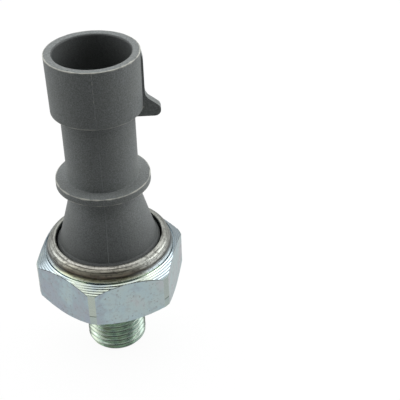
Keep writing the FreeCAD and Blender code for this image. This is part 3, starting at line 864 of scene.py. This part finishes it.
# %% Burnished silver
silver, tree, shader = new_material("silver_burnished")
place = add(tree, "ShaderNodeTexCoord").outputs["Object"]
tarnish = add(tree, "ShaderNodeTexNoise", {"Vector": place, "Scale": 1 / (0.5 * MM), "Detail": 4.0})
ramp = add(tree, "ShaderNodeValToRGB", {0: tarnish.outputs["Fac"]})
set_stops(ramp, [(0.35, "dcdad2"), (0.6, "cfccc2"), (0.8, "a79f8c")])
rough = add(tree, "ShaderNodeMapRange", {0: tarnish.outputs["Fac"], 1: 0.3, 2: 0.7, 3: 0.15, 4: 0.35})
set_inputs(tree, shader, {"Base Color": ramp.outputs[0], "Metallic": 1.0, "Roughness": rough.outputs[0]})

# %% Turned brass
brass, tree, shader = new_material("brass_turned")
place = add(tree, "ShaderNodeTexCoord").outputs["Object"]
streaks = streaked(tree, place)[1]
tone = add(tree, "ShaderNodeTexNoise", {"Vector": place, "Scale": 1 / (2 * MM), "Detail": 3.0})
ramp = add(tree, "ShaderNodeValToRGB", {0: tone.outputs["Fac"]})
set_stops(ramp, [(0.3, "b8924c"), (0.5, "cda75f"), (0.7, "c19a58")])
marks = add(tree, "ShaderNodeTexNoise", {"Vector": streaks, "Scale": 1 / (1.5 * MM), "Detail": 3.0})
bump = add(tree, "ShaderNodeBump", {"Height": marks.outputs["Fac"], "Strength": 0.3, "Distance": 0.01 * MM})
set_inputs(tree, shader, {
    "Base Color": ramp.outputs[0], "Metallic": 1.0, "Roughness": 0.26, "Normal": bump.outputs[0],
})

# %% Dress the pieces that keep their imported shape
dressed_in = {
    "diaphragm_seal": rubber, "terminal_seal": rubber, "housing_seal": rubber, "diaphragm": amber,
    "plunger": acetal, "pressure_disc": pressed, "contact_plate": pressed, "contact_spring": sprung,
    "push_washer": sprung, "fixed_contact_1": silver, "fixed_contact_2": silver, "fixed_contact_3": silver,
    "terminal_pin": brass, "moving_contact": brass,
}
for node, material in dressed_in.items():
    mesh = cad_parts[node].data
    mesh.materials.clear()
    mesh.materials.append(material)
print("packed pieces dressed:", len(dressed_in))

# %% Give each face of the body its finish
BODY_FINISHES = (flats, turned, threaded, rolled)
INLET_LIMIT = 2.5


def body_finish(centre, normal):
    """Which of the body's finishes a face wears: 0 flats, 1 turned, 2 thread, 3 lip."""
    if centre.z < -0.3 * MM and off_axis(centre) > INLET_LIMIT:
        return 2
    if centre.z > (HEX_HEIGHT + 0.01) * MM and off_axis(centre) > LIP_EDGE_RADIUS - MERGE / MM:
        return 3
    from_axis = centre.x * normal.x + centre.y * normal.y
    return 0 if abs(normal.z) < 0.01 and abs(from_axis - FLATS / 2 * MM) < MERGE else 1


body.data.materials.clear()
for material in BODY_FINISHES:
    body.data.materials.append(material)
for face in body.data.polygons:
    face.material_index = body_finish(face.center, face.normal)
worn_by = [face.material_index for face in body.data.polygons]
print("faces of the body in each finish:", [worn_by.count(index) for index in range(len(BODY_FINISHES))])


# %% Give the mould lines their finish
def is_flash(centre, normal):
    """True on a raised strip, outside the housing and above the lip."""
    outer = off_axis(centre) > SOCKET_RADIUS + 0.3 or centre.z < SHROUD_BOTTOM * MM
    half_width = math.degrees(LINE_HALF_WIDTH / RIM_RADIUS)
    near = any(abs(azimuth(centre) - line) < half_width for line in MOULD_LINE)
    return near and outer and centre.z > LIP_TOP * MM and abs(normal.z) < 0.5


housing.data.materials.clear()
for material in (plastic, flash):
    housing.data.materials.append(material)
for face in housing.data.polygons:
    face.material_index = int(is_flash(face.center, face.normal))
print("faces of the mould lines:", sum(face.material_index for face in housing.data.polygons))

# %% Say what the new pieces stand for
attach(body, "shell")
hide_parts("hex_body")
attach(housing, "shell")
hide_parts("connector_housing")

# %% [markdown]
# ## Floor, light and camera
# The part stands on a white sweep in a white room. The room is brightest overhead and a little behind
# the part, so tops and both sides come out pale and the front stays dark, as under a studio tent.
# A black screen behind the camera keeps light off the front and draws dark lines in turned metal.
# The white behind the part is the floor's and the room's own colour, seen by the camera and by metal.

# %% Floor: white to the camera, grey to the light that it sends up, a soft glow to metal
CAMERA_GLOW = 0.94
METAL_GLOW = 0.53
bpy.ops.object.select_all(action="DESELECT")
bpy.ops.mesh.primitive_plane_add(size=6, location=(0, 0, STUD_END * MM))
floor = bpy.context.object
floor.name = "floor"
floor_paint, tree, matte = new_material("white_floor")
rays = add(tree, "ShaderNodeLightPath")
seen, in_metal = rays.outputs["Is Camera Ray"], rays.outputs["Is Glossy Ray"]
tone = add(tree, "ShaderNodeMix", {0: seen, 6: colour("727272"), 7: colour("ffffff")}, data_type="RGBA")
set_inputs(tree, matte, {"Base Color": tone.outputs[2], "Roughness": 0.9, "Specular IOR Level": 0.0})
glow = add(tree, "ShaderNodeEmission", {"Color": (1, 1, 1, 1), "Strength": 1.0})
lit = add(tree, "ShaderNodeMath", {0: seen, 1: CAMERA_GLOW}, operation="MULTIPLY").outputs[0]
share = add(tree, "ShaderNodeMath", {0: in_metal, 1: METAL_GLOW, 2: lit}, operation="MULTIPLY_ADD")
blend = add(tree, "ShaderNodeMixShader", {0: share.outputs[0], 1: matte.outputs[0], 2: glow.outputs[0]})
tree.links.new(blend.outputs[0], tree.nodes["Material Output"].inputs["Surface"])
floor.data.materials.append(floor_paint)

# %% Room: light falls from the pole, metal mirrors a room that brightens upwards, the camera sees white
ROOM_POLE = (0, 0.7, 0.714)
world = bpy.data.worlds.new("studio")
bpy.context.scene.world = world
world.use_nodes = True
tree = world.node_tree
back = tree.nodes["Background"]
back.inputs["Color"].default_value = (1, 1, 1, 1)
rays = add(tree, "ShaderNodeLightPath")
direction = add(tree, "ShaderNodeTexCoord").outputs["Generated"]
lean = add(tree, "ShaderNodeVectorMath", {0: direction, 1: ROOM_POLE}, operation="DOT_PRODUCT")
plain = add(tree, "ShaderNodeMapRange", {0: lean.outputs["Value"], 1: 0.05, 2: 1.0, 3: 0.0, 4: 2.0})
height = add(tree, "ShaderNodeSeparateXYZ", {0: direction}).outputs["Z"]
mirrored = add(tree, "ShaderNodeMapRange", {0: height, 1: 0.0, 2: 1.0, 3: 0.4, 4: 1.15})
sharp = add(
    tree, "ShaderNodeMath",
    {0: rays.outputs["Is Glossy Ray"], 1: rays.outputs["Is Transmission Ray"]}, operation="MAXIMUM")
unseen = add(tree, "ShaderNodeMix", {0: sharp.outputs[0], 2: plain.outputs[0], 3: mirrored.outputs[0]})
strength = add(tree, "ShaderNodeMix", {0: rays.outputs["Is Camera Ray"], 2: unseen.outputs[0], 3: 1.0})
tree.links.new(strength.outputs[0], back.inputs["Strength"])
print("room tree nodes:", len(tree.nodes))

# %% Black screen behind the camera
SCREEN_SIZE = (0.5, 0.26, 1)
bpy.ops.object.select_all(action="DESELECT")
bpy.ops.mesh.primitive_plane_add(size=1, location=(0.02, -0.26, 0.16))
screen = bpy.context.object
screen.name = "black_screen"
screen.scale = SCREEN_SIZE
screen.rotation_euler.x = math.radians(60)
bpy.ops.object.transform_apply(location=True, rotation=True, scale=True)
screen.visible_camera = False
black_cloth, tree, cloth = new_material("black_cloth")
set_inputs(tree, cloth, {"Base Color": colour("101010"), "Roughness": 0.9})
screen.data.materials.append(black_cloth)

# %% Lamps
LAMP_SIZE = 0.55
LAMP_AIM = Vector((0, 0, 0.016))


def add_lamp(name, spot, power):
    """A square soft lamp that faces the middle of the part."""
    lamp = bpy.data.lights.new(name, "AREA")
    lamp.size = LAMP_SIZE
    lamp.energy = power
    holder = bpy.data.objects.new(name, lamp)
    bpy.context.collection.objects.link(holder)
    holder.location = spot
    holder.rotation_euler = (LAMP_AIM - Vector(spot)).to_track_quat("-Z", "Y").to_euler()
    print(name, "at", spot, "with", power, "W")


add_lamp("lamp_left", (-0.5, 0.02, 0.1), 1.5)
add_lamp("lamp_right", (0.5, 0.02, 0.1), 2.2)

# %% Camera, at the photograph's angle
CAMERA_SPOT = (8.60, -123.03, 102.28)
CAMERA_DOWN = 35.01
CAMERA_HEADING = -3.07
CAMERA_ROLL = -1.32
FOCAL_LENGTH = 83.526
camera_data = bpy.data.cameras.new("camera")
camera_data.sensor_width = 36
camera_data.lens = FOCAL_LENGTH
camera_data.clip_start = 0.01
camera = bpy.data.objects.new("camera", camera_data)
bpy.context.collection.objects.link(camera)
turn = Matrix.Rotation(math.radians(CAMERA_HEADING), 4, "Z")
tip = Matrix.Rotation(math.radians(90 - CAMERA_DOWN), 4, "X")
roll = Matrix.Rotation(math.radians(CAMERA_ROLL), 4, "Z")
camera.matrix_world = Matrix.Translation(Vector(CAMERA_SPOT) * MM) @ turn @ tip @ roll
bpy.context.scene.camera = camera
bpy.context.scene.view_settings.view_transform = "Standard"
